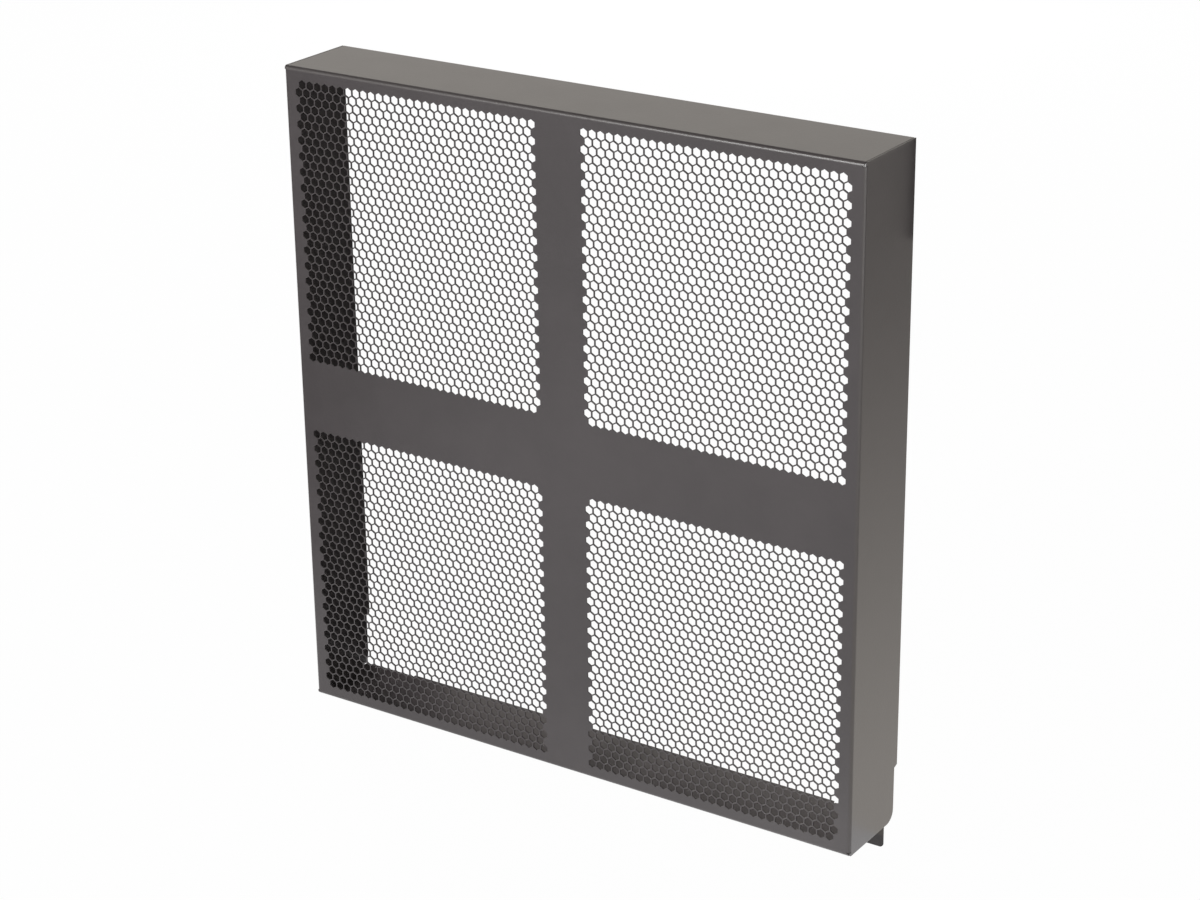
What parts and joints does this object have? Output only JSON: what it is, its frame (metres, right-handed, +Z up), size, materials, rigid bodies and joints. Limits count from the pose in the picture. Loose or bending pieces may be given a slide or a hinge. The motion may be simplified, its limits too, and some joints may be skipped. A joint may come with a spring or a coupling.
{
  "type": "rack front cover",
  "caption": "Shallow folded sheet-steel cover for the front of an equipment rack, open at the back, with four honeycomb vent fields around a plain cross and tabs hanging at its foot.",
  "frame": {"origin": "centre of the cover's open rear, halfway across and halfway up its walls", "axes": "+X to the right seen from the front, +Y from the front face to the open rear, +Z up"},
  "size_m": [0.4826, 0.069, 0.537],
  "materials": {
    "powder_coat": "dark grey powder coat, satin"
  },
  "bodies": {
    "root": {"folded_cover": "powder_coat"}
  },
  "joints": []
}
